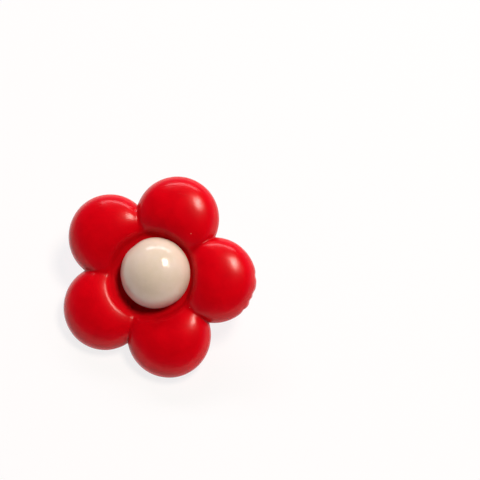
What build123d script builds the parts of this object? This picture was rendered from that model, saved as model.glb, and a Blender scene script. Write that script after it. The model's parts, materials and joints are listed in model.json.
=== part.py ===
from build123d import *
import math
import os

# A five-petal flower button on a loop shank, in two mouldings: the red flower, and an
# ivory centre whose loop comes out through a slot in the flower's back. Millimetres.
# Heights along the button's own axis are measured from the flat of its back: the face
# is above it, and the loop below. The button lies face up as it comes to rest, leaning
# on the rounded end of its loop and on two petals.

# Petals
petal_count = 5
petal_centre_radius = 4.54
petal_radius = 3.19
parting_height = 0.85
petal_height = 2.75
face_shoulder = 1.4
back_corner_radius = 3.02
back_corner_height = 0.38
back_flat_radius = 1.85

# Bowl that the centre sits in, and the hub round the slot
seat_height = 1.55
seat_radius = 3.0
wall_top_radius = 3.2
dish_radius = 5.2
dish_height = 2.8
dish_round = 3.4
hub_flat_radius = 2.1
hub_radius = 3.2

# Slot for the shank
slot_length = 4.8
slot_width = 2.5
slot_corner = 0.5

# Ivory centre, which sits a little off the flower's axis in the slack of slot and bowl
dome_radius = 2.65
dome_height = 2.15
centre_shift = (0.15, 0.27)

# Loop shank
loop_width = 4.2
loop_foot_width = 3.96
loop_thickness = 1.1
loop_reach = 3.35
loop_crown = 1.6
loop_edge = 0.3
foot_embed = 0.6

# Eye of the loop
eye_width = 2.4
eye_foot_width = 1.86
eye_reach = 2.4
eye_bevel = 0.2


def flatter_radius(tight_reach, flat_reach, tight_radius):
    """Radius of a quarter oval's flatter arc, from its two reaches and its tight arc."""
    straight = tight_reach - tight_radius
    return (straight**2 + flat_reach**2 - tight_radius**2) / (2 * (flat_reach - tight_radius))


def towards(start, end, distance):
    """Point at a distance from a start, on the line to an end."""
    start, end = Vector(start), Vector(end)
    return start + (end - start).normalized() * distance


def quarter_oval(centre, tight_end, flat_end, tight_radius):
    """Two tangent arcs about a centre: a tight one from tight_end, then a flatter one."""
    centre, tight_end, flat_end = Vector(centre), Vector(tight_end), Vector(flat_end)
    to_tight, to_flat = tight_end - centre, flat_end - centre
    flat_radius = flatter_radius(to_tight.length, to_flat.length, tight_radius)
    tight_centre = tight_end - to_tight.normalized() * tight_radius
    flat_centre = flat_end - to_flat.normalized() * flat_radius
    join = towards(flat_centre, tight_centre, flat_radius)
    tight_arc = TangentArc(tight_end, join, tangent=to_flat)
    TangentArc(join, flat_end, tangent=tight_arc % 1)


# Tilt at which the loop's end and the back corners of two petals touch the surface together:
# rise * cos(tilt) - run * sin(tilt) = -loop_edge
petal_reach = petal_centre_radius * math.cos(math.pi / petal_count)
loop_side = loop_thickness / 2 - loop_edge - centre_shift[1]
rise = back_corner_height + loop_reach - loop_edge
run = petal_reach + back_corner_radius - loop_side
tilt = math.acos(-loop_edge / math.hypot(rise, run)) - math.atan2(run, rise)
slope, level = math.sin(tilt), math.cos(tilt)
back_above_surface = (loop_reach - loop_edge) * level + loop_side * slope + loop_edge

# Ends of the leaning button along Y: the shoulders of the low petals' faces, and the
# back corner of the high petal
low_shoulder = petal_reach + petal_radius - face_shoulder
high_corner = petal_centre_radius + back_corner_radius
nearest = -low_shoulder * level - parting_height * slope - face_shoulder
farthest = high_corner * level - back_corner_height * slope

# Plane of the flower's flat back, and the same plane about the centre's own axis
lying = Plane(
    origin=(0, -(nearest + farthest) / 2, back_above_surface),
    x_dir=(1, 0, 0),
    z_dir=(0, -slope, level),
)
lying_centre = Plane(
    origin=lying.from_local_coords((*centre_shift, 0)), x_dir=lying.x_dir, z_dir=lying.z_dir
)

# Planes upright through each axis; the loop lies in the centre's
upright = Plane(origin=lying.origin, x_dir=lying.x_dir, z_dir=-lying.y_dir)
loop_plane = Plane(origin=lying_centre.origin, x_dir=lying.x_dir, z_dir=-lying.y_dir)
flower_axis = Axis(lying.origin, lying.z_dir)
centre_axis = Axis(lying_centre.origin, lying.z_dir)

# One petal, turned about its own axis: a low dome above the parting line, and below it a
# steep bevel and a low one that runs to the flat of the back
with BuildPart() as petal:
    with BuildSketch(Plane.XZ):
        with BuildLine():
            rim = (petal_radius, parting_height)
            quarter_oval((0, parting_height), rim, (0, petal_height), face_shoulder)
            Polyline(
                rim,
                (back_corner_radius, back_corner_height),
                (back_flat_radius, 0),
                (0, 0),
                (0, petal_height),
            )
        make_face()
    revolve(axis=Axis.Z)

# Flower: the petals meet in creases, and a hub fills the middle of the back
with BuildPart(lying) as flower_body:
    with PolarLocations(petal_centre_radius, petal_count, start_angle=90):
        add(petal.part)
    with BuildSketch(upright):
        with BuildLine():
            Polyline(
                (hub_flat_radius, 0),
                (0, 0),
                (0, seat_height),
                (hub_radius, seat_height),
                (hub_radius, parting_height),
                close=True,
            )
        make_face()
    revolve(axis=flower_axis)
    # Bowl round the centre: a steep wall at the seat, which rolls over into a shallow dish
    # in the tops of the petals
    with BuildSketch(upright):
        with BuildLine():
            dish_rise = math.sqrt(dish_round**2 - (dish_radius - wall_top_radius) ** 2)
            wall_top = (wall_top_radius, dish_height - dish_round + dish_rise)
            RadiusArc(wall_top, (dish_radius, dish_height), dish_round)
            Polyline(
                (dish_radius, dish_height),
                (0, dish_height),
                (0, seat_height),
                (seat_radius, seat_height),
                wall_top,
            )
        make_face()
    revolve(axis=flower_axis, mode=Mode.SUBTRACT)
    # Slot for the shank, through the hub from back to seat
    with BuildSketch(lying):
        RectangleRounded(slot_length, slot_width, slot_corner)
    extrude(amount=seat_height, mode=Mode.SUBTRACT)

flower_body.part.label = "flower_body"

# Ivory centre: the loop first, then the dome that its legs run up into
with BuildPart(lying_centre) as centre_and_shank:
    with BuildSketch(loop_plane):
        with BuildLine():
            foot_height = seat_height + foot_embed
            quarter_oval((0, 0), (0, -loop_reach), (loop_width / 2, 0), loop_crown)
            Polyline((loop_width / 2, 0), (loop_foot_width / 2, foot_height), (0, foot_height))
            mirror(about=Plane.YZ)
        make_face()
    extrude(amount=loop_thickness / 2, both=True)
    # The loop is rounded in section
    rims = faces().filter_by(loop_plane).edges()
    feet = rims.group_by(centre_axis)[-1]
    fillet(rims - feet, loop_edge)
    # Eye: round at its end, and drawn in by a bend to the narrower gap between the legs
    with BuildSketch(loop_plane):
        with BuildLine():
            leg = eye_foot_width / 2
            eye_radius = eye_width / 2
            eye_depth = eye_reach - eye_radius
            bend_radius = (leg**2 + eye_depth**2 - eye_radius**2) / (2 * (eye_radius - leg))
            bend_edge = towards((0, -eye_depth), (leg + bend_radius, 0), eye_radius)
            eye_end = foot_height + foot_embed
            Polyline((0, eye_end), (leg, eye_end), (leg, 0))
            bend = TangentArc((leg, 0), bend_edge, tangent=(0, -1))
            TangentArc(bend_edge, (0, -eye_reach), tangent=bend % 1)
            mirror(about=Plane.YZ)
        make_face()
    extrude(amount=loop_thickness, both=True, mode=Mode.SUBTRACT)
    inner_rims = edges(Select.LAST) & faces().filter_by(loop_plane).edges()
    chamfer(inner_rims - inner_rims.group_by(centre_axis)[-1], eye_bevel)
    # Domed head, flat underneath, where it sits on the flower's seat
    with BuildSketch(loop_plane):
        with BuildLine():
            head_rim = (dome_radius, seat_height)
            head_top = (0, seat_height + dome_height)
            round_radius = (dome_radius**2 + dome_height**2) / (2 * dome_height)
            RadiusArc(head_rim, head_top, -round_radius)
            Polyline(head_top, (0, seat_height), head_rim)
        make_face()
    revolve(axis=centre_axis)

centre_and_shank.part.label = "centre_and_shank"

os.makedirs("parts", exist_ok=True)
export_step(flower_body.part, "parts/flower_body.step")
export_step(centre_and_shank.part, "parts/centre_and_shank.step")
print("tilt", round(math.degrees(tilt), 2), "degrees")
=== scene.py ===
import json
import math

import bpy
import numpy as np
from mathutils import Matrix, Vector, noise


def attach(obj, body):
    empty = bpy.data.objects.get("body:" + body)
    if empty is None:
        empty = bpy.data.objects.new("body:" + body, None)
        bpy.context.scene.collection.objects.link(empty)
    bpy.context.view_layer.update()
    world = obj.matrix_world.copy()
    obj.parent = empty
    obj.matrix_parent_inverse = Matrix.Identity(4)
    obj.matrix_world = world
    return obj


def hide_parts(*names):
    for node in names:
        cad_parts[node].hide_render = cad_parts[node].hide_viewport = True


bl_info = {
    "name": "Flower shank button",
    "version": (1, 0, 0),
    "blender": (4, 5, 0),
    "location": "View3D > Sidebar > Button",
    "description": "Finishes a red five-petal flower button with an ivory centre and a loop shank",
    "category": "Add Mesh",
}

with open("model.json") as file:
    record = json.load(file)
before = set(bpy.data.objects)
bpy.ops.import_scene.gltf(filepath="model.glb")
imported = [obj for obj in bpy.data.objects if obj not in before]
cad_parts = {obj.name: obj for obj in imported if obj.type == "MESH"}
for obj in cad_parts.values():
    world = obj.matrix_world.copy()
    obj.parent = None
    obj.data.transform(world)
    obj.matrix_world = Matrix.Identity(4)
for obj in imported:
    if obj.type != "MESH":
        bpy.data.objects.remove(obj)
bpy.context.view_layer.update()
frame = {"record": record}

MM = 0.001
FLOWER_NODE = "flower_body"
CENTRE_NODE = "centre_and_shank"
RED_SLOT = "red_plastic"
IVORY_SLOT = "ivory_plastic"
slot_colours = {each["slot"]: each["base_color"] for each in frame["record"]["materials"]}

# The button's own axes in the shared frame, read from the mount at the eye of its loop: across
# runs along the loop, along is square to it, and face points out of the flower's face. The
# mount is in the middle of the eye's free part, this far behind the flat of the flower's back.
EYE_BELOW_BACK = 1.2 * MM
eye_mount = frame["record"]["mounts"][0]
across = Vector((1, 0, 0))
along = Vector(eye_mount["axis"]).normalized()
face = across.cross(along)
button_axes = Matrix((across, along, face)).transposed()


# Sizes and colours


class FlowerSizes(bpy.types.PropertyGroup):
    """The red flower. Heights are measured from the flat of its back."""

    petals: bpy.props.IntProperty(
        name="Petals", description="Number of petals round the centre", default=5, min=3
    )
    petal_place: bpy.props.FloatProperty(
        name="Petal place", description="From the flower's axis to each petal's own axis",
        default=4.54 * MM, precision=5, unit="LENGTH",
    )
    petal_radius: bpy.props.FloatProperty(
        name="Petal radius", description="Radius of a petal at its widest",
        default=3.19 * MM, precision=5, unit="LENGTH",
    )
    widest_height: bpy.props.FloatProperty(
        name="Height of the widest line", description="Height at which a petal is widest",
        default=0.85 * MM, precision=5, unit="LENGTH",
    )
    petal_height: bpy.props.FloatProperty(
        name="Petal height", description="Top of a petal's dome",
        default=2.75 * MM, precision=5, unit="LENGTH",
    )
    face_shoulder: bpy.props.FloatProperty(
        name="Face shoulder", description="Radius of the rounding from the rim to the face",
        default=1.4 * MM, precision=5, unit="LENGTH",
    )
    back_shoulder: bpy.props.FloatProperty(
        name="Back shoulder", description="Radius of the rounding from the rim to the back",
        default=0.55 * MM, precision=5, unit="LENGTH",
    )
    back_flat: bpy.props.FloatProperty(
        name="Back flat", description="Radius of the flat on the back of each petal",
        default=1.85 * MM, precision=5, unit="LENGTH",
    )
    crease_fill: bpy.props.FloatProperty(
        name="Crease fill", description="Width over which two petals run together in a crease",
        default=0.05 * MM, precision=5, unit="LENGTH",
    )
    roll_place: bpy.props.FloatProperty(
        name="Roll place", description="Where a petal starts to roll down to the bowl, along its line",
        default=5.22 * MM, precision=5, unit="LENGTH",
    )
    roll_height: bpy.props.FloatProperty(
        name="Roll height", description="Height of the roll's top",
        default=2.8 * MM, precision=5, unit="LENGTH",
    )
    roll_round: bpy.props.FloatProperty(
        name="Roll rounding", description="Radius of the roll",
        default=3.4 * MM, precision=5, unit="LENGTH",
    )
    roll_fill: bpy.props.FloatProperty(
        name="Roll fill", description="Width over which a petal's dome runs into the roll",
        default=0.6 * MM, precision=5, unit="LENGTH",
    )
    mould_line: bpy.props.FloatProperty(
        name="Mould line height", description="Height of the fine line left by the joint of the mould",
        default=1.25 * MM, precision=5, unit="LENGTH",
    )


class BowlSizes(bpy.types.PropertyGroup):
    """The bowl round the centre, the hub under it and the slot for the shank."""

    seat_height: bpy.props.FloatProperty(
        name="Seat height", description="Height of the seat that the centre sits on",
        default=1.55 * MM, precision=5, unit="LENGTH",
    )
    seat_radius: bpy.props.FloatProperty(
        name="Seat radius", description="Radius of the seat at the foot of the bowl",
        default=3.0 * MM, precision=5, unit="LENGTH",
    )
    mouth_round: bpy.props.FloatProperty(
        name="Mouth rounding", description="Width over which the bowl's wall runs into the petals",
        default=0.4 * MM, precision=5, unit="LENGTH",
    )
    foot_round: bpy.props.FloatProperty(
        name="Foot rounding", description="Width over which the wall runs into the seat",
        default=0.25 * MM, precision=5, unit="LENGTH",
    )
    hub_radius: bpy.props.FloatProperty(
        name="Hub radius", description="Radius of the hub in the middle of the back",
        default=3.2 * MM, precision=5, unit="LENGTH",
    )
    wall_top: bpy.props.FloatProperty(
        name="Wall top", description="Radius of the bowl at the top of its wall",
        default=3.2 * MM, precision=5, unit="LENGTH",
    )
    wall_height: bpy.props.FloatProperty(
        name="Wall height", description="Height of the top of the bowl's wall",
        default=2.15 * MM, precision=5, unit="LENGTH",
    )
    hub_flat: bpy.props.FloatProperty(
        name="Hub flat", description="Radius of the hub's flat",
        default=2.1 * MM, precision=5, unit="LENGTH",
    )
    hub_shoulder: bpy.props.FloatProperty(
        name="Hub shoulder", description="Radius of the rounding round the hub's flat",
        default=0.5 * MM, precision=5, unit="LENGTH",
    )
    slot_length: bpy.props.FloatProperty(
        name="Slot length", description="Length of the slot for the shank",
        default=4.8 * MM, precision=5, unit="LENGTH",
    )
    slot_width: bpy.props.FloatProperty(
        name="Slot width", description="Width of the slot for the shank",
        default=2.5 * MM, precision=5, unit="LENGTH",
    )
    slot_corner: bpy.props.FloatProperty(
        name="Slot corner", description="Radius of the slot's corners",
        default=0.5 * MM, precision=5, unit="LENGTH",
    )
    lip_round: bpy.props.FloatProperty(
        name="Slot lip", description="Width of the rounding round the slot's lip",
        default=0.2 * MM, precision=5, unit="LENGTH",
    )


class CentreSizes(bpy.types.PropertyGroup):
    """The ivory centre and its loop. Lengths along the loop are measured below the flower's back."""

    shift_across: bpy.props.FloatProperty(
        name="Shift across",
        description="How far the centre sits off the flower's axis, along the loop",
        default=0.15 * MM, precision=5, unit="LENGTH",
    )
    shift_along: bpy.props.FloatProperty(
        name="Shift along",
        description="How far the centre sits off the flower's axis, square to the loop",
        default=0.27 * MM, precision=5, unit="LENGTH",
    )
    dome_radius: bpy.props.FloatProperty(
        name="Dome radius", description="Radius of the domed head",
        default=2.65 * MM, precision=5, unit="LENGTH",
    )
    dome_height: bpy.props.FloatProperty(
        name="Dome height", description="Height of the domed head above its seat",
        default=2.15 * MM, precision=5, unit="LENGTH",
    )
    dome_shoulder: bpy.props.FloatProperty(
        name="Dome shoulder", description="Radius of the dome where it meets its rim",
        default=1.9 * MM, precision=5, unit="LENGTH",
    )
    loop_width: bpy.props.FloatProperty(
        name="Loop width", description="Width of the loop at the flower's back",
        default=4.2 * MM, precision=5, unit="LENGTH",
    )
    loop_foot_width: bpy.props.FloatProperty(
        name="Loop foot width", description="Width of the loop where its legs end in the dome",
        default=3.96 * MM, precision=5, unit="LENGTH",
    )
    loop_thickness: bpy.props.FloatProperty(
        name="Loop thickness", description="Thickness of the loop",
        default=1.1 * MM, precision=5, unit="LENGTH",
    )
    loop_reach: bpy.props.FloatProperty(
        name="Loop reach", description="How far the loop stands behind the flower's back",
        default=3.35 * MM, precision=5, unit="LENGTH",
    )
    loop_crown: bpy.props.FloatProperty(
        name="Loop crown", description="Tighter radius of the loop's outline, at its end",
        default=1.6 * MM, precision=5, unit="LENGTH",
    )
    loop_edge: bpy.props.FloatProperty(
        name="Loop edge", description="Radius of the rounding along the loop's outer edges",
        default=0.3 * MM, precision=5, unit="LENGTH",
    )
    foot_embed: bpy.props.FloatProperty(
        name="Foot embed", description="How far the legs run up into the dome",
        default=0.6 * MM, precision=5, unit="LENGTH",
    )
    eye_width: bpy.props.FloatProperty(
        name="Eye width", description="Width of the eye at its widest",
        default=2.4 * MM, precision=5, unit="LENGTH",
    )
    eye_foot_width: bpy.props.FloatProperty(
        name="Eye foot width", description="Width of the gap between the legs",
        default=1.86 * MM, precision=5, unit="LENGTH",
    )
    eye_reach: bpy.props.FloatProperty(
        name="Eye reach", description="How far the eye reaches behind the flower's back",
        default=2.4 * MM, precision=5, unit="LENGTH",
    )
    eye_edge: bpy.props.FloatProperty(
        name="Eye edge", description="Radius of the rounding along the eye's edges",
        default=0.2 * MM, precision=5, unit="LENGTH",
    )


class Finishes(bpy.types.PropertyGroup):
    """Colours of the two plastics."""

    red: bpy.props.FloatVectorProperty(
        name="Red", description="Colour of the flower", subtype="COLOR", min=0, max=1,
        default=slot_colours[RED_SLOT][:3],
    )
    ivory: bpy.props.FloatVectorProperty(
        name="Ivory", description="Colour of the centre and its loop", subtype="COLOR", min=0, max=1,
        default=slot_colours[IVORY_SLOT][:3],
    )


class StageSettings(bpy.types.PropertyGroup):
    """The floor, the camera and the lamps."""

    camera_azimuth: bpy.props.FloatProperty(
        name="Camera azimuth",
        description="Direction of the camera round the button, from -Y towards +X",
        default=math.radians(25.0), unit="ROTATION",
    )
    camera_elevation: bpy.props.FloatProperty(
        name="Camera elevation", description="Height of the camera above the floor, as an angle",
        default=math.radians(61.97), unit="ROTATION",
    )
    camera_distance: bpy.props.FloatProperty(
        name="Camera distance", description="From the camera to the point that it aims at",
        default=132.85 * MM, precision=4, unit="LENGTH",
    )
    aim_right: bpy.props.FloatProperty(
        name="Aim to the right", description="How far right of the flower's middle the camera aims",
        default=6.336 * MM, precision=5, unit="LENGTH",
    )
    aim_above: bpy.props.FloatProperty(
        name="Aim above", description="How far above the flower's middle the camera aims",
        default=2.663 * MM, precision=5, unit="LENGTH",
    )
    focal_length: bpy.props.FloatProperty(
        name="Focal length", description="Focal length on a 36 mm sensor, in millimetres",
        default=133.57,
    )
    floor_size: bpy.props.FloatProperty(
        name="Floor size", description="Side of the square floor", default=2.0, unit="LENGTH"
    )
    floor_colour: bpy.props.FloatVectorProperty(
        name="Floor colour", description="Colour of the floor", subtype="COLOR", min=0, max=1,
        default=(0.93, 0.93, 0.93),
    )
    room_colour: bpy.props.FloatVectorProperty(
        name="Room colour", description="Tint of the light from the room",
        subtype="COLOR", min=0, max=1, default=(0.95, 0.5, 0.95),
    )
    lamp_power: bpy.props.FloatProperty(
        name="Lamp power", description="Power of the small lamp beside the camera",
        default=0.78, unit="POWER",
    )
    lamp_colour: bpy.props.FloatVectorProperty(
        name="Lamp colour", description="Colour of the small lamp", subtype="COLOR", min=0, max=1,
        default=(1, 0.86, 0.74),
    )
    window_power: bpy.props.FloatProperty(
        name="Window power", description="Power of the long low window beyond the button",
        default=0.8, unit="POWER",
    )
    window_colour: bpy.props.FloatVectorProperty(
        name="Window colour", description="Colour of the window", subtype="COLOR", min=0, max=1,
        default=(1, 0.9, 0.98),
    )


# Places and outlines


def button_point(points):
    """Points of the button's own axes, heights from the flower's back, as points of the shared frame."""
    sizes = bpy.context.scene.button_centre
    eye = Vector((sizes.shift_across, sizes.shift_along, -EYE_BELOW_BACK))
    origin = Vector(eye_mount["pos_m"]) - button_axes @ eye
    return points @ np.array(button_axes.transposed()) + np.array(origin)


def flatter_radius(tight_reach, flat_reach, tight_radius):
    """Radius of a quarter oval's flatter arc, from its two reaches and its tight arc."""
    straight = tight_reach - tight_radius
    return (straight**2 + flat_reach**2 - tight_radius**2) / (2 * (flat_reach - tight_radius))


def oval_gap(u, v, tight_reach, flat_reach, tight_radius):
    """Gap to a quarter oval of two tangent arcs, the tight one on the u axis. Negative inside."""
    flat_radius = flatter_radius(tight_reach, flat_reach, tight_radius)
    straight = tight_reach - tight_radius
    drop = flat_radius - flat_reach
    to_tight = np.hypot(u - straight, v) - tight_radius
    to_flat = np.hypot(u, v + drop) - flat_radius
    return np.where(straight * (v + drop) > drop * u, to_flat, to_tight)


def oval_points(tight_reach, flat_reach, tight_radius, steps):
    """Points of the same quarter oval, from its tight end on the u axis to its flat end."""
    flat_radius = flatter_radius(tight_reach, flat_reach, tight_radius)
    straight = tight_reach - tight_radius
    join = math.atan2(flat_radius - flat_reach, straight)
    angles = np.linspace(0, math.pi / 2, steps)
    tight = np.stack([straight + tight_radius * np.cos(angles), tight_radius * np.sin(angles)], 1)
    flat = np.stack([flat_radius * np.cos(angles), flat_reach + flat_radius * (np.sin(angles) - 1)], 1)
    return np.where(angles[:, None] < join, tight, flat)


def blend_min(a, b, width):
    """The lower of two gaps, run together over a width, as a fillet does."""
    near = np.maximum(width - np.abs(a - b), 0) / width
    return np.minimum(a, b) - near**2 * width / 4


def blend_max(a, b, width):
    """The higher of two gaps, run together over a width, as a rounded edge does."""
    return -blend_min(-a, -b, width)


def bump(value, middle, width):
    """A smooth hump of height 1 about a middle."""
    return np.exp(-(((value - middle) / width) ** 2))


# The red flower


# Depth of the faint dish in each flat of the back, and rounding of the slot's lip at the seat
BACK_DISH = 0.03 * MM
SEAT_LIP = 0.04 * MM
# How much wider a crease is filled at the bowl, and over what distance that fades
BOWL_CREASE_FILL = 0.6 * MM
INNER_FADE = 0.65 * MM
# The fine line that the joint of the mould leaves round the petals
FLASH_HEIGHT = 0.02 * MM
FLASH_WIDTH = 0.04 * MM


def petal_gap(distance, reach, height, flower):
    """Gap to a petal, from a point's distance to the petal's own axis and its reach along its line."""
    rim, widest = flower.petal_radius, flower.widest_height
    above = oval_gap(distance, height - widest, rim, flower.petal_height - widest, flower.face_shoulder)
    flat = flower.back_flat
    below = oval_gap(distance - flat, widest - height, rim - flat, widest, flower.back_shoulder)
    hollow = BACK_DISH * np.sqrt(np.clip(1 - distance / flat, 0, 1))
    below = np.where(distance > flat, below, hollow - height)
    dome = np.where(height > widest, above, below)
    return blend_max(dome, roll_gap(reach, height, flower), flower.roll_fill)


def roll_gap(reach, height, flower):
    """Gap to the roll square to a petal's line, with which it goes down to the bowl."""
    axis_height = flower.roll_height - flower.roll_round
    roll = np.hypot(reach - flower.roll_place, height - axis_height) - flower.roll_round
    return np.where(reach < flower.roll_place, roll, height - flower.roll_height)


def hub_gap(radius, height, flower, bowl):
    """Gap to the hub in the middle of the back."""
    below = oval_gap(
        radius - bowl.hub_flat, flower.widest_height - height,
        bowl.hub_radius - bowl.hub_flat, flower.widest_height, bowl.hub_shoulder,
    )
    below = np.where(radius > bowl.hub_flat, below, -height)
    above = np.maximum(radius - bowl.hub_radius, height - bowl.seat_height)
    return np.where(height > flower.widest_height, above, below)


def bowl_gap(radius, height, bowl):
    """Gap to what the bowl leaves standing: the leaning wall round the centre, and the seat."""
    lean = (bowl.wall_top - bowl.seat_radius) / (bowl.wall_height - bowl.seat_height)
    wall = bowl.seat_radius + lean * (height - bowl.seat_height) - radius
    return blend_min(wall / math.hypot(1, lean), height - bowl.seat_height, bowl.foot_round)


def slot_gap(x, y, bowl):
    """Gap to the slot's outline in plan. Negative in the slot."""
    corner = bowl.slot_corner
    over_x = np.abs(x) - bowl.slot_length / 2 + corner
    over_y = np.abs(y) - bowl.slot_width / 2 + corner
    outside = np.hypot(np.maximum(over_x, 0), np.maximum(over_y, 0))
    return outside + np.minimum(np.maximum(over_x, over_y), 0) - corner


def inner_share(radius, height, flower, bowl):
    """1 at the bowl's edge, falling off along the petals' inner slopes, which the mould left dull."""
    return np.exp(-np.maximum(radius - bowl.wall_top, 0) / INNER_FADE) * (height > flower.mould_line)


# Where the gate was trimmed off one petal: the petal's number, and each cut's angle from the
# petal's outward line and its width, in degrees, and its depth in millimetres
GATE_PETAL = 4
GATE_CUTS = ((10, 4, 0.07), (-15, 5, 0.1), (-25, 4, 0.12), (-41, 3, 0.07))
GATE_HEIGHT = 0.85 * MM
GATE_SPREAD = 0.38 * MM


def petal_step(flower):
    """Angle from one petal's line to the next."""
    return 2 * math.pi / flower.petals


def off_petal_line(turn, flower):
    """Angle between a direction and the nearest petal's line. The first petal points along y."""
    step = petal_step(flower)
    return np.abs((turn - math.pi / 2 + step / 2) % step - step / 2)


def gate_cuts(radius, turn, height, flower):
    """Depth to which the trimmed gate is cut into its petal's rim."""
    line = math.pi / 2 + GATE_PETAL * petal_step(flower)
    outward = radius * np.cos(turn - line) - flower.petal_place
    sideways = radius * np.sin(turn - line)
    angle = np.degrees(np.arctan2(sideways, outward))
    depth = sum(cut * MM * bump(angle, middle, width) for middle, width, cut in GATE_CUTS)
    return depth * bump(height, GATE_HEIGHT, GATE_SPREAD) * (outward > 0)


def flower_gap(radius, turn, height, flower, bowl):
    """Gap to the whole flower at a radius and an angle round its axis. Negative inside."""
    off_petal = off_petal_line(turn, flower)
    nearest, next_one = (
        petal_gap(
            np.hypot(radius * np.cos(angle) - flower.petal_place, radius * np.sin(angle)),
            radius * np.cos(angle), height, flower,
        )
        for angle in (off_petal, petal_step(flower) - off_petal)
    )
    fill = flower.crease_fill + BOWL_CREASE_FILL * inner_share(radius, height, flower, bowl)
    petals = blend_min(nearest, next_one, fill)
    petals = petals - FLASH_HEIGHT * bump(height, flower.mould_line, FLASH_WIDTH)
    petals = petals + gate_cuts(radius, turn, height, flower)
    body = blend_min(petals, hub_gap(radius, height, flower, bowl), flower.crease_fill)
    body = blend_max(body, bowl_gap(radius, height, bowl), bowl.mouth_round)
    x, y = radius * np.cos(turn), radius * np.sin(turn)
    lip = np.where(height < flower.widest_height, bowl.lip_round, SEAT_LIP)
    return blend_max(body, -slot_gap(x, y, bowl), lip) + SKIN_INSET


# The skin is found by halving the way out from a core, a circle inside the petals. It lies a
# little inside the true form, to leave room for its unevenness.
FLOWER_COLUMNS = 400
CORE_RADIUS = 4.2 * MM
SKIN_INSET = 0.008 * MM
FARTHEST = 5 * MM
HALVINGS = 36
# Angles round the section's core, from the slot's wall by the back, the rim and the face to
# the seat, each with the number of rows up to the next
SECTION_ROWS = (
    (-180, 8), (-165, 26), (-139, 22), (-95, 24), (-35, 14), (-6, 30), (6, 14), (35, 28),
    (95, 42), (168, 7), (180, 0),
)


def section_angles():
    """Angles of the rows round the section, close together where it turns sharply."""
    angles = []
    for (start, rows), (end, _) in zip(SECTION_ROWS, SECTION_ROWS[1:]):
        angles.extend(np.radians(np.linspace(start, end, rows, endpoint=False)))
    return np.array(angles)


def flower_grid(flower, bowl):
    """Radius, angle and height of the flower's skin, in columns round its axis."""
    turn = np.radians(np.arange(FLOWER_COLUMNS) * 360 / FLOWER_COLUMNS)[:, None]
    angle = section_angles()[None, :]
    core_height = flower.mould_line
    # No row reaches past the flower's axis
    inward = np.maximum(-np.cos(angle), 1e-6)
    high = np.minimum(FARTHEST, CORE_RADIUS / inward) * np.ones_like(turn)
    low = np.zeros_like(high)
    for _ in range(HALVINGS):
        middle = (low + high) / 2
        radius = CORE_RADIUS + middle * np.cos(angle)
        height = core_height + middle * np.sin(angle)
        outside = flower_gap(radius, turn, height, flower, bowl) > 0
        low, high = np.where(outside, low, middle), np.where(outside, middle, high)
    return CORE_RADIUS + low * np.cos(angle), turn, core_height + low * np.sin(angle)


def closed_grid_faces(columns, rows):
    """Faces of a grid that closes on itself both ways."""
    column, row = np.meshgrid(np.arange(columns), np.arange(rows), indexing="ij")
    next_column, next_row = (column + 1) % columns, (row + 1) % rows
    corners = (
        column * rows + row, next_column * rows + row,
        next_column * rows + next_row, column * rows + next_row,
    )
    return np.stack(corners, -1).reshape(-1, 4)


def mesh_piece(name, points, faces):
    """A smooth-shaded mesh object from points of the shared frame."""
    mesh = bpy.data.meshes.new(name)
    mesh.from_pydata([tuple(p) for p in points], [], [tuple(f) for f in faces])
    mesh.polygons.foreach_set("use_smooth", [True] * len(mesh.polygons))
    mesh.update()
    piece = bpy.data.objects.new(name, mesh)
    bpy.context.scene.collection.objects.link(piece)
    return piece


def paint_points(piece, name, values):
    """Writes one value per vertex, which a material reads by name."""
    layer = piece.data.attributes.new(name, "FLOAT", "POINT")
    layer.data.foreach_set("value", np.asarray(values, np.float32).ravel())


# Height and pitch of the slow and the fine unevenness of a moulded surface
SURFACE_WAVES = ((0.005 * MM, 1.3 * MM), (0.0022 * MM, 0.42 * MM))


def surface_wave(points):
    """Unevenness of a moulded surface, one value for each point."""
    wave = np.zeros(len(points))
    for height, pitch in SURFACE_WAVES:
        wave += np.array([noise.noise(Vector(p / pitch)) for p in points]) * height
    return wave


# Distances over which the shade of a crease and of the bowl fades, and the heights between
# which the satin of the back gives way to gloss
CREASE_FADE = 0.16 * MM
BOWL_FADE = 0.35 * MM
SATIN_HEIGHTS = (0.04 * MM, 0.16 * MM)


def hollow_share(radius, turn, height, flower, bowl):
    """1 in the creases and at the foot of the bowl, 0 on the open faces: where shade is painted into the
    red.
    """
    off_crease = petal_step(flower) / 2 - off_petal_line(turn, flower)
    crease = np.exp(-radius * off_crease / CREASE_FADE)
    foot = np.exp(-np.maximum(radius - bowl.wall_top, 0) / BOWL_FADE)
    return np.clip(crease + foot * (height > flower.mould_line), 0, 1)


def satin_share(height):
    """1 on the flats of the back, which the mould left satin."""
    full, none = SATIN_HEIGHTS
    return np.clip((none - height) / (none - full), 0, 1)


def build_flower(flower, bowl):
    """The red flower as one closed skin."""
    radius, turn, height = flower_grid(flower, bowl)
    grid = np.stack([radius * np.cos(turn), radius * np.sin(turn), height], -1)
    points = grid.reshape(-1, 3)
    wave = surface_wave(points)
    inward = points * (1, 1, 0)
    core = inward / np.linalg.norm(inward, axis=1)[:, None] * CORE_RADIUS + (0, 0, flower.mould_line)
    outward = points - core
    points = points + outward / np.linalg.norm(outward, axis=1)[:, None] * wave[:, None]
    columns, rows = radius.shape
    piece = mesh_piece("red_flower", button_point(points), closed_grid_faces(columns, rows))
    # Where shade is painted into the red's colour: the creases and the foot of the bowl
    paint_points(piece, "hollow", hollow_share(radius, turn, height, flower, bowl))
    paint_points(piece, "inner", inner_share(radius, height, flower, bowl))
    paint_points(piece, "satin", satin_share(height))
    return piece


# The ivory centre and its loop


DOME_COLUMNS = 180
DOME_ROWS = 56
# Rounding of the rim under the dome
DOME_EDGE = 0.12 * MM
EDGE_ROWS = 5
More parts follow.
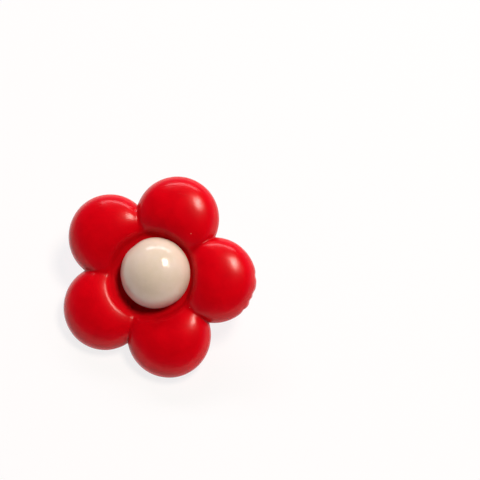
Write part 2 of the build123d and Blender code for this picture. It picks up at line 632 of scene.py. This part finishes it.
# Where the dome was trimmed from its runner: depth as a share of the radius, and the place
# and width in degrees round the axis
TRIM_DEPTH = 0.028
TRIM_ANGLE = 150
TRIM_WIDTH = 13


def turned_piece(name, profile, columns, middle, narrowing):
    """A closed form turned from a profile with both ends on the axis, its rim narrowed by column."""
    turn = np.radians(np.arange(columns) * 360 / columns)
    reach, rise = profile[1:-1].T
    rim_share = (1 - rise / rise.max())[:, None]
    out = reach[:, None] * (1 - narrowing * rim_share)
    rings = np.stack([out * np.cos(turn), out * np.sin(turn), rise[:, None] * np.ones_like(turn)], -1)
    rings = rings.reshape(-1, 3)
    ends = [(0, 0, profile[0, 1]), (0, 0, profile[-1, 1])]
    points = np.concatenate([rings, ends]) + middle
    column = np.arange(columns)
    beside = (column + 1) % columns
    faces = []
    for ring in range(len(reach) - 1):
        low, high = ring * columns, (ring + 1) * columns
        faces.extend(np.stack([low + column, low + beside, high + beside, high + column], 1).tolist())
    first, last, top = len(rings), len(rings) + 1, (len(reach) - 1) * columns
    faces.extend([first, b, c] for b, c in zip(beside.tolist(), column.tolist()))
    faces.extend([last, top + c, top + b] for b, c in zip(beside.tolist(), column.tolist()))
    return mesh_piece(name, button_point(points), faces)


def build_dome(centre, bowl):
    """The domed head, flat underneath with a small rounding at its rim."""
    oval = oval_points(centre.dome_radius, centre.dome_height, centre.dome_shoulder, DOME_ROWS)
    oval = oval[oval[:, 1] > DOME_EDGE]
    angles = np.radians(np.linspace(-90, 0, EDGE_ROWS))
    edge = np.stack([
        centre.dome_radius - DOME_EDGE * (1 - np.cos(angles)), DOME_EDGE * (1 + np.sin(angles)),
    ], 1)
    profile = np.concatenate([[(0, 0)], edge, oval[:-1], [(0, centre.dome_height)]])
    middle = (centre.shift_across, centre.shift_along, bowl.seat_height)
    trim = TRIM_DEPTH * bump(np.arange(DOME_COLUMNS) * 360 / DOME_COLUMNS, TRIM_ANGLE, TRIM_WIDTH)
    return turned_piece("ivory_centre", profile, DOME_COLUMNS, middle, trim)


LOOP_STATIONS = 44
LEG_STATIONS = 10
CORNER_POINTS = 6
# Steps in which the loop's outline and the eye's two arcs are laid out before they are spread
OUTLINE_STEPS = 200
EYE_STEPS = 120
BEND_STEPS = 60
# The line that the joint of the mould leaves along the outside of the loop
PARTING_RIDGE = 0.012 * MM
RIDGE_HALF_WIDTH = 0.05 * MM
# The centre's edges look sharp above this angle
SHARP_ANGLE = math.radians(40)


def arc_points(centre, radius, start, end, steps):
    """Points of an arc between two angles."""
    angles = np.linspace(start, end, steps)
    return np.stack([centre[0] + radius * np.cos(angles), centre[1] + radius * np.sin(angles)], 1)


def spread_evenly(points, steps):
    """The same line with its points evenly spaced."""
    lengths = np.concatenate([[0], np.cumsum(np.hypot(*np.diff(points, axis=0).T))])
    places = np.linspace(0, lengths[-1], steps)
    return np.stack([np.interp(places, lengths, axis) for axis in points.T], 1)


def loop_sides(centre, foot):
    """Outer and inner outline of the loop's right half, from its end up to its foot."""
    oval = oval_points(centre.loop_reach, centre.loop_width / 2, centre.loop_crown, OUTLINE_STEPS)
    outer = spread_evenly(np.stack([oval[:, 1], -oval[:, 0]], 1), LOOP_STATIONS)
    eye, leg = centre.eye_width / 2, centre.eye_foot_width / 2
    depth = centre.eye_reach - eye
    bend = (leg**2 + depth**2 - eye**2) / (2 * (eye - leg))
    join = math.atan2(depth, leg + bend)
    round_end = arc_points((0, -depth), eye, -math.pi / 2, join, EYE_STEPS)
    drawn_in = arc_points((leg + bend, 0), bend, math.pi + join, math.pi, BEND_STEPS)
    inner = spread_evenly(np.concatenate([round_end, drawn_in[1:]]), LOOP_STATIONS)
    rise = np.linspace(0, 1, LEG_STATIONS + 1)[1:, None]
    outer_leg = outer[-1] + rise * ((centre.loop_foot_width / 2, foot) - outer[-1])
    inner_leg = inner[-1] + rise * ((leg, foot) - inner[-1])
    return np.concatenate([outer, outer_leg]), np.concatenate([inner, inner_leg])


def loop_section(width, centre):
    """Section of the loop, from its outer side (0) to its inner side (width)."""
    half = centre.loop_thickness / 2
    points = [(-PARTING_RIDGE, 0), (0, RIDGE_HALF_WIDTH)]
    corners = (
        (0, 1, centre.loop_edge, math.pi, math.pi / 2),
        (width, 1, centre.eye_edge, math.pi / 2, 0),
        (width, -1, centre.eye_edge, 0, -math.pi / 2),
        (0, -1, centre.loop_edge, -math.pi / 2, -math.pi),
    )
    for across_place, side, edge, start, end in corners:
        middle = (abs(across_place - edge), side * (half - edge))
        points.extend(arc_points(middle, edge, start, end, CORNER_POINTS))
    return np.array([*points, (0, -RIDGE_HALF_WIDTH)])


def build_loop(centre, bowl):
    """The loop shank, from the one foot in the dome round to the other."""
    outer, inner = loop_sides(centre, bowl.seat_height + centre.foot_embed)
    mirrored = (-1, 1)
    outer = np.concatenate([outer[::-1], (outer * mirrored)[1:]])
    inner = np.concatenate([inner[::-1], (inner * mirrored)[1:]])
    points = []
    for far, near in zip(outer, inner):
        width = np.hypot(*(near - far))
        section = loop_section(width, centre)
        plane = far + section[:, :1] * (near - far) / width
        points.append(np.stack([plane[:, 0], section[:, 1], plane[:, 1]], 1))
    around, stations = len(points[0]), len(points)
    points = np.concatenate(points) + (centre.shift_across, centre.shift_along, 0)
    faces = []
    for station in range(stations - 1):
        for place in range(around):
            here, beside = station * around + place, station * around + (place + 1) % around
            faces.append((here, beside, beside + around, here + around))
    faces.append(tuple(range(around))[::-1])
    faces.append(tuple(range((stations - 1) * around, stations * around)))
    return mesh_piece("loop", button_point(points), faces)


def join_pieces(whole, added):
    """Fuses a second closed piece into the first, and deletes the second."""
    union = whole.modifiers.new("union", "BOOLEAN")
    union.operation, union.solver, union.object = "UNION", "EXACT", added
    shaped = whole.evaluated_get(bpy.context.evaluated_depsgraph_get())
    mesh = bpy.data.meshes.new_from_object(shaped)
    whole.modifiers.clear()
    whole.data = mesh
    bpy.data.objects.remove(added)
    if not mesh.polygons:
        raise RuntimeError("the loop couldn't be joined to the dome")
    return whole


def build_centre(centre, bowl):
    """The ivory centre: the dome and the loop in one."""
    piece = join_pieces(build_dome(centre, bowl), build_loop(centre, bowl))
    piece.data.polygons.foreach_set("use_smooth", [True] * len(piece.data.polygons))
    piece.data.set_sharp_from_angle(angle=SHARP_ANGLE)
    return piece


# Materials


def add_node(tree, kind, inputs=(), **settings):
    """A node with its settings, and its inputs given as values or as sockets to link."""
    made = tree.nodes.new(kind)
    for key, value in settings.items():
        setattr(made, key, value)
    for key, value in dict(inputs).items():
        socket = made.inputs[key]
        if isinstance(value, bpy.types.NodeSocket):
            tree.links.new(value, socket)
        else:
            socket.default_value = value
    return made


def maths(tree, operation, first, second):
    """A Math node's result."""
    return add_node(tree, "ShaderNodeMath", {0: first, 1: second}, operation=operation).outputs[0]


def stretch(tree, value, low, high, to_low=0.0, to_high=1.0):
    """A value stretched from one range to another, and held inside it."""
    ranges = {"Value": value, "From Min": low, "From Max": high, "To Min": to_low, "To Max": to_high}
    return add_node(tree, "ShaderNodeMapRange", ranges).outputs["Result"]


def new_group(name, inputs, outputs):
    """An empty node group with its sockets, and the nodes at its two ends."""
    tree = bpy.data.node_groups.new(name, "ShaderNodeTree")
    for socket, kind, default in inputs:
        made = tree.interface.new_socket(socket, in_out="INPUT", socket_type=kind)
        if default is not None:
            made.default_value = default
    for socket, kind in outputs:
        tree.interface.new_socket(socket, in_out="OUTPUT", socket_type=kind)
    return tree, tree.nodes.new("NodeGroupInput"), tree.nodes.new("NodeGroupOutput")


PER_MM = 1 / MM
# The grain's waves for each wave of the peel, and the waves of the scratched patches for each
# wave of the scratches
GRAIN_TO_PEEL = 3.4
PATCH_TO_SCRATCH = 0.45


def moulded_skin_group():
    """Cloudiness of the plastic's colour and the slight orange peel of its skin."""
    tree, given, result = new_group(
        "moulded_skin",
        [("Position", "NodeSocketVector", None), ("Cloud Size", "NodeSocketFloat", 0.9 * PER_MM),
         ("Peel Size", "NodeSocketFloat", 3.2 * PER_MM)],
        [("Cloud", "NodeSocketFloat"), ("Peel", "NodeSocketFloat"), ("Grain", "NodeSocketFloat")],
    )
    place = given.outputs["Position"]
    cloud = add_node(
        tree, "ShaderNodeTexNoise",
        {"Vector": place, "Scale": given.outputs["Cloud Size"], "Detail": 3.0, "Distortion": 0.4},
    )
    peel = add_node(
        tree, "ShaderNodeTexNoise",
        {"Vector": place, "Scale": given.outputs["Peel Size"], "Detail": 1.5, "Roughness": 0.4},
    )
    grain_size = maths(tree, "MULTIPLY", given.outputs["Peel Size"], GRAIN_TO_PEEL)
    grain = add_node(tree, "ShaderNodeTexNoise", {"Vector": place, "Scale": grain_size, "Detail": 2.0})
    tree.links.new(stretch(tree, cloud.outputs["Fac"], 0.32, 0.68), result.inputs["Cloud"])
    tree.links.new(peel.outputs["Fac"], result.inputs["Peel"])
    tree.links.new(stretch(tree, grain.outputs["Fac"], 0.3, 0.7), result.inputs["Grain"])
    return tree


def handling_marks_group():
    """Hairline scratches in a few patches, and sparse specks of dust."""
    tree, given, result = new_group(
        "handling_marks",
        [("Position", "NodeSocketVector", None), ("Scratch Size", "NodeSocketFloat", 0.8 * PER_MM),
         ("Speck Size", "NodeSocketFloat", 1.1 * PER_MM)],
        [("Scratches", "NodeSocketFloat"), ("Specks", "NodeSocketFloat")],
    )
    place = given.outputs["Position"]
    turned = add_node(
        tree, "ShaderNodeMapping",
        {"Vector": place, "Rotation": (0.4, 0.3, 0.9), "Scale": (9.0, 0.7, 3.0)},
    )
    lines = add_node(
        tree, "ShaderNodeTexNoise",
        {"Vector": turned.outputs["Vector"], "Scale": given.outputs["Scratch Size"], "Detail": 1.0},
    )
    thin = maths(tree, "ABSOLUTE", maths(tree, "SUBTRACT", lines.outputs["Fac"], 0.5), 0.0)
    thin = stretch(tree, thin, 0.0, 0.012, 1.0, 0.0)
    patch_size = maths(tree, "MULTIPLY", given.outputs["Scratch Size"], PATCH_TO_SCRATCH)
    patches = add_node(tree, "ShaderNodeTexNoise", {"Vector": place, "Scale": patch_size})
    scratches = maths(tree, "MULTIPLY", thin, stretch(tree, patches.outputs["Fac"], 0.52, 0.66))
    cells = add_node(
        tree, "ShaderNodeTexVoronoi", {"Vector": place, "Scale": given.outputs["Speck Size"]}
    )
    dots = stretch(tree, cells.outputs["Distance"], 0.03, 0.055, 1.0, 0.0)
    chosen = add_node(tree, "ShaderNodeSeparateColor", {"Color": cells.outputs["Color"]})
    few = stretch(tree, chosen.outputs["Red"], 0.86, 0.88)
    tree.links.new(scratches, result.inputs["Scratches"])
    tree.links.new(maths(tree, "MULTIPLY", dots, few), result.inputs["Specks"])
    return tree


def place_group(tree, name, build, position, sizes):
    """The outputs of a shared group in a material, with that material's own sizes for it."""
    shared = bpy.data.node_groups.get(name) or build()
    inputs = {"Position": position, **sizes}
    return add_node(tree, "ShaderNodeGroup", inputs, node_tree=shared).outputs


def plastic_start(name, skin_sizes, marks_sizes):
    """A new plastic material, its tree, its shader, and the shared skin and marks in it."""
    material = bpy.data.materials.new(name)
    material.use_nodes = True
    tree = material.node_tree
    position = add_node(tree, "ShaderNodeTexCoord").outputs["Object"]
    skin = place_group(tree, "moulded_skin", moulded_skin_group, position, skin_sizes)
    marks = place_group(tree, "handling_marks", handling_marks_group, position, marks_sizes)
    return material, tree, tree.nodes["Principled BSDF"], skin, marks


# Places of a Mix node's sockets for colours, which share their names with its other kinds
MIX_SHARE, MIX_FIRST, MIX_SECOND, MIX_RESULT = 0, 6, 7, 2


def blend_colour(tree, share, first, second):
    """The first colour where the share is 0, the second where it is 1."""
    inputs = {MIX_SHARE: share, MIX_FIRST: first, MIX_SECOND: second}
    return add_node(tree, "ShaderNodeMix", inputs, data_type="RGBA").outputs[MIX_RESULT]


def shade(colour, factor):
    """A colour made darker or lighter, with its alpha."""
    return (*(min(1.0, part * factor) for part in colour), 1.0)


def add_bump(tree, shader, height, strength):
    """Relief of the skin's depth on the shader's normal."""
    relief = add_node(
        tree, "ShaderNodeBump", {"Height": height, "Distance": RELIEF_DEPTH, "Strength": strength}
    )
    tree.links.new(relief.outputs["Normal"], shader.inputs["Normal"])


# Sizes of the red plastic's cloudiness and peel and of its marks, in waves or specks a metre
RED_SKIN = {"Cloud Size": 0.9 * PER_MM, "Peel Size": 3.2 * PER_MM}
RED_MARKS = {"Scratch Size": 0.8 * PER_MM, "Speck Size": 1.1 * PER_MM}
# The red where it is thin and full, and the darker red painted as shade into the creases and the bowl's
# foot, as shares of its colour, and the dust on it
RED_THIN, RED_FULL, RED_SHADED = 0.93, 1.06, 0.45
RED_DUST = (0.9, 0.55, 0.4, 1)
# Share of that painted shade where the creases and the bowl's foot are deepest
HOLLOW_SHADE = 0.4
DUST_COVER = 0.5
# Weight of the gloss on the open faces, and the share of it that the back's satin takes away
RED_GLOSS = 0.42
SATIN_LOSS = 0.6
# Roughness of the clear and the cloudy skin, and what satin, bowl wall and scratches add
RED_ROUGH = (0.15, 0.21)
SATIN_ROUGH = 0.22
WALL_ROUGH = 0.45
WALL_EDGE = (0.75, 0.98)
SCRATCH_ROUGH = 0.1
# Depth of the skin's relief, its strength on the red, and the shares of grain and scratches
RELIEF_DEPTH = 0.02 * MM
RED_RELIEF = 0.6
RED_GRAIN = 0.12
RED_SCRATCH = 0.12


def red_plastic(colour):
    """Glossy opaque red, cloudy in places, with painted shade in its creases and round its bowl's foot,
    dull in the bowl and satin on the back's flats.
    """
    material, tree, shader, skin, marks = plastic_start("red_plastic", RED_SKIN, RED_MARKS)
    hollow, inner, satin = (
        add_node(tree, "ShaderNodeAttribute", attribute_name=name).outputs["Fac"]
        for name in ("hollow", "inner", "satin")
    )
    body = blend_colour(tree, skin["Cloud"], shade(colour, RED_THIN), shade(colour, RED_FULL))
    # Painted shade: the red is darkened in the creases and at the foot of the bowl, where shade falls
    shaded = blend_colour(tree, maths(tree, "MULTIPLY", hollow, HOLLOW_SHADE), body, shade(colour, RED_SHADED))
    dusty = blend_colour(tree, maths(tree, "MULTIPLY", marks["Specks"], DUST_COVER), shaded, RED_DUST)
    tree.links.new(dusty, shader.inputs["Base Color"])
    rough = stretch(tree, skin["Cloud"], 0.0, 1.0, *RED_ROUGH)
    rough = maths(tree, "ADD", rough, maths(tree, "MULTIPLY", satin, SATIN_ROUGH))
    rough = maths(tree, "ADD", rough, stretch(tree, inner, *WALL_EDGE, 0.0, WALL_ROUGH))
    rough = maths(tree, "ADD", rough, maths(tree, "MULTIPLY", marks["Scratches"], SCRATCH_ROUGH))
    tree.links.new(rough, shader.inputs["Roughness"])
    relief = maths(tree, "ADD", skin["Peel"], maths(tree, "MULTIPLY", skin["Grain"], RED_GRAIN))
    relief = maths(tree, "SUBTRACT", relief, maths(tree, "MULTIPLY", marks["Scratches"], RED_SCRATCH))
    add_bump(tree, shader, relief, RED_RELIEF)
    gloss = maths(tree, "SUBTRACT", RED_GLOSS, maths(tree, "MULTIPLY", inner, RED_GLOSS))
    gloss = maths(tree, "SUBTRACT", gloss, maths(tree, "MULTIPLY", satin, RED_GLOSS * SATIN_LOSS))
    tree.links.new(gloss, shader.inputs["Coat Weight"])
    shader.inputs["Coat Roughness"].default_value = 0.26
    shader.inputs["Specular IOR Level"].default_value = 0.06
    return material


# The same for the ivory plastic: its deeper colour, its grain's shade and the dust on it
IVORY_SKIN = {"Cloud Size": 0.9 * PER_MM, "Peel Size": 3.2 * PER_MM}
IVORY_MARKS = {"Scratch Size": 0.8 * PER_MM, "Speck Size": 1.1 * PER_MM}
IVORY_DEEP = (0.77, 0.71, 0.56, 1)
IVORY_DUST = (0.3, 0.24, 0.17, 1)
GRAIN_SHADE = 0.84
GRAIN_COVER = 0.12
IVORY_DUST_COVER = 0.3
IVORY_ROUGH = (0.12, 0.18)
IVORY_SCRATCH_ROUGH = 0.12
IVORY_RELIEF = 0.35
IVORY_GRAIN = 0.15


def ivory_plastic(colour):
    """Glossy ivory that lets a little light through, with the same skin and marks."""
    material, tree, shader, skin, marks = plastic_start("ivory_plastic", IVORY_SKIN, IVORY_MARKS)
    grain, specks = (
        maths(tree, "MULTIPLY", mask, cover)
        for mask, cover in ((skin["Grain"], GRAIN_COVER), (marks["Specks"], IVORY_DUST_COVER))
    )
    body = blend_colour(tree, skin["Cloud"], IVORY_DEEP, shade(colour, 1.0))
    grainy = blend_colour(tree, grain, body, shade(colour, GRAIN_SHADE))
    tree.links.new(blend_colour(tree, specks, grainy, IVORY_DUST), shader.inputs["Base Color"])
    rough = stretch(tree, skin["Cloud"], 0.0, 1.0, *IVORY_ROUGH)
    rough = maths(tree, "ADD", rough, maths(tree, "MULTIPLY", marks["Scratches"], IVORY_SCRATCH_ROUGH))
    tree.links.new(rough, shader.inputs["Roughness"])
    relief = maths(tree, "ADD", skin["Peel"], maths(tree, "MULTIPLY", skin["Grain"], IVORY_GRAIN))
    add_bump(tree, shader, relief, IVORY_RELIEF)
    shader.inputs["Subsurface Weight"].default_value = 0.15
    shader.inputs["Subsurface Radius"].default_value = (1.0, 0.8, 0.5)
    shader.inputs["Subsurface Scale"].default_value = 0.35 * MM
    return material


# Share of plain white in what rays see of the floor; the rest is lit paper with the shadow
WHITE_SHARE = 0.82


def floor_paper(colour):
    """Pale floor that a camera sees as white but for the shadow, and that is open from below."""
    material = bpy.data.materials.new("floor_paper")
    material.use_nodes = True
    tree = material.node_tree
    paper = tree.nodes["Principled BSDF"]
    paper.inputs["Base Color"].default_value = (*colour, 1)
    paper.inputs["Roughness"].default_value = 0.9
    paper.inputs["Specular IOR Level"].default_value = 0.1
    white = add_node(tree, "ShaderNodeEmission", {"Strength": 1.0})
    rays = add_node(tree, "ShaderNodeLightPath").outputs
    seen = maths(tree, "MAXIMUM", rays["Is Camera Ray"], rays["Is Glossy Ray"])
    seen = maths(tree, "MAXIMUM", seen, rays["Is Transmission Ray"])
    lit = add_node(
        tree, "ShaderNodeMixShader",
        {0: maths(tree, "MULTIPLY", seen, WHITE_SHARE), 1: paper.outputs[0], 2: white.outputs[0]},
    )
    below = add_node(tree, "ShaderNodeNewGeometry").outputs["Backfacing"]
    clear = add_node(tree, "ShaderNodeBsdfTransparent")
    top = add_node(tree, "ShaderNodeMixShader", {0: below, 1: lit.outputs[0], 2: clear.outputs[0]})
    tree.links.new(top.outputs[0], tree.nodes["Material Output"].inputs["Surface"])
    return material


# Stage


def flower_middle():
    """Middle of the flower at its widest line, in the shared frame."""
    flower = bpy.context.scene.button_flower
    return Vector(button_point(np.array([[0, 0, flower.widest_height]]))[0])


def add_camera(stage):
    """The camera, and its axes: columns to its right, up and back from what it sees."""
    data = bpy.data.cameras.new("camera")
    data.sensor_width = 36
    data.lens = stage.focal_length
    data.clip_start, data.clip_end = 0.01, 20
    camera = bpy.data.objects.new("camera", data)
    azimuth, elevation = stage.camera_azimuth, stage.camera_elevation
    back = Vector((
        math.sin(azimuth) * math.cos(elevation),
        -math.cos(azimuth) * math.cos(elevation),
        math.sin(elevation),
    ))
    right = Vector((0, 0, 1)).cross(back).normalized()
    up = back.cross(right)
    aim = flower_middle() + right * stage.aim_right + up * stage.aim_above
    axes = Matrix((right, up, back)).transposed()
    camera.location = aim + back * stage.camera_distance
    camera.rotation_euler = axes.to_euler()
    bpy.context.scene.collection.objects.link(camera)
    bpy.context.scene.camera = camera
    return axes


# Each lamp's direction from the flower, in the camera's axes, its distance and its two sides,
# in metres
LAMP_DIRECTION = Vector((0.33, 0.50, 0.80))
LAMP_DISTANCE = 0.3
LAMP_SIZE = (0.095, 0.065)
WINDOW_DIRECTION = Vector((0, 0.97, 0.22))
WINDOW_DISTANCE = 0.4
WINDOW_SIZE = (0.4, 0.07)


def add_lamp(name, direction, distance, size, power, colour):
    """A rectangular lamp that shines on the flower's middle."""
    data = bpy.data.lights.new(name, "AREA")
    data.shape = "RECTANGLE"
    data.size, data.size_y = size
    data.energy = power
    data.color = colour
    lamp = bpy.data.objects.new(name, data)
    lamp.location = flower_middle() + direction.normalized() * distance
    lamp.rotation_euler = (flower_middle() - lamp.location).to_track_quat("-Z", "Y").to_euler()
    bpy.context.scene.collection.objects.link(lamp)


def add_floor(stage):
    """A square of pale paper that the button lies on."""
    half = stage.floor_size / 2
    points = [(-half, -half, 0), (half, -half, 0), (half, half, 0), (-half, half, 0)]
    floor = mesh_piece("floor", points, [(0, 1, 2, 3)])
    floor.data.materials.append(floor_paper(stage.floor_colour))


# Direction of the room's bright wall, the light's strength at floor level and overhead, and
# the height at which it has faded, as the sine of an angle
BRIGHT_WALL = (0.175, 0.985, 0)
LOW_STRENGTH, HIGH_STRENGTH = 0.8, 0.05
FADED_HEIGHT = 0.55
# How square to the bright wall a direction is where the room is dimmest and brightest, and
# the share of the light that is left on the dim side
DIM_FACING, BRIGHT_FACING = -0.2, 0.6
DIM_SHARE = 0.25


def set_world(stage):
    """A room with a bright wall beyond the button. A camera sees it as white."""
    world = bpy.data.worlds.new("room")
    bpy.context.scene.world = world
    world.use_nodes = True
    tree = world.node_tree
    direction = add_node(tree, "ShaderNodeTexCoord").outputs["Generated"]
    parts = add_node(tree, "ShaderNodeSeparateXYZ", {"Vector": direction})
    room = add_node(
        tree, "ShaderNodeMapRange",
        {
            "Value": parts.outputs["Z"], "From Min": 0.0, "From Max": FADED_HEIGHT,
            "To Min": LOW_STRENGTH, "To Max": HIGH_STRENGTH,
        },
        interpolation_type="SMOOTHSTEP",
    )
    beyond = add_node(
        tree, "ShaderNodeVectorMath", {0: direction, 1: BRIGHT_WALL}, operation="DOT_PRODUCT"
    )
    side = stretch(tree, beyond.outputs["Value"], DIM_FACING, BRIGHT_FACING, DIM_SHARE, 1.0)
    level = maths(tree, "MULTIPLY", room.outputs["Result"], side)
    rays = add_node(tree, "ShaderNodeLightPath").outputs
    seen = maths(tree, "MAXIMUM", rays["Is Camera Ray"], rays["Is Transmission Ray"])
    backdrop = blend_colour(tree, seen, (*stage.room_colour, 1), (1, 1, 1, 1))
    tree.links.new(backdrop, tree.nodes["Background"].inputs["Color"])
    tree.links.new(maths(tree, "MAXIMUM", level, seen), tree.nodes["Background"].inputs["Strength"])


class BUTTON_OT_flower(bpy.types.Operator):
    """Build the red flower"""

    bl_idname = "button.flower"
    bl_label = "Red flower"

    def execute(self, context):
        scene = context.scene
        piece = build_flower(scene.button_flower, scene.button_bowl)
        piece.data.materials.append(red_plastic(scene.button_finishes.red))
        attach(piece, "root")
        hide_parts(FLOWER_NODE)
        return {"FINISHED"}


class BUTTON_OT_centre(bpy.types.Operator):
    """Build the ivory centre with its loop shank"""

    bl_idname = "button.centre"
    bl_label = "Ivory centre and shank"

    def execute(self, context):
        scene = context.scene
        piece = build_centre(scene.button_centre, scene.button_bowl)
        piece.data.materials.clear()
        piece.data.materials.append(ivory_plastic(scene.button_finishes.ivory))
        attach(piece, "root")
        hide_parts(CENTRE_NODE)
        return {"FINISHED"}


class BUTTON_OT_stage(bpy.types.Operator):
    """Set the floor, the camera and the lamps"""

    bl_idname = "button.stage"
    bl_label = "Stage"

    def execute(self, context):
        stage = context.scene.button_stage
        context.scene.view_settings.view_transform = "Standard"
        axes = add_camera(stage)
        add_floor(stage)
        set_world(stage)
        add_lamp(
            "lamp", axes @ LAMP_DIRECTION, LAMP_DISTANCE, LAMP_SIZE,
            stage.lamp_power, stage.lamp_colour,
        )
        add_lamp(
            "window", axes @ WINDOW_DIRECTION, WINDOW_DISTANCE, WINDOW_SIZE,
            stage.window_power, stage.window_colour,
        )
        return {"FINISHED"}


class BUTTON_PT_sidebar(bpy.types.Panel):
    """The button's pieces and its stage"""

    bl_idname = "BUTTON_PT_sidebar"
    bl_label = "Flower shank button"
    bl_space_type = "VIEW_3D"
    bl_region_type = "UI"
    bl_category = "Button"

    def draw(self, context):
        for operator in (BUTTON_OT_flower, BUTTON_OT_centre, BUTTON_OT_stage):
            self.layout.operator(operator.bl_idname)


GROUPS = {
    "button_flower": FlowerSizes,
    "button_bowl": BowlSizes,
    "button_centre": CentreSizes,
    "button_finishes": Finishes,
    "button_stage": StageSettings,
}
CLASSES = (*GROUPS.values(), BUTTON_OT_flower, BUTTON_OT_centre, BUTTON_OT_stage, BUTTON_PT_sidebar)


def register():
    for each in CLASSES:
        bpy.utils.register_class(each)
    for name, group in GROUPS.items():
        setattr(bpy.types.Scene, name, bpy.props.PointerProperty(type=group))


def unregister():
    for name in GROUPS:
        delattr(bpy.types.Scene, name)
    for each in reversed(CLASSES):
        bpy.utils.unregister_class(each)


def main():
    register()
    bpy.ops.button.flower()
    bpy.ops.button.centre()
    bpy.ops.button.stage()


if __name__ == "__main__":
    main()
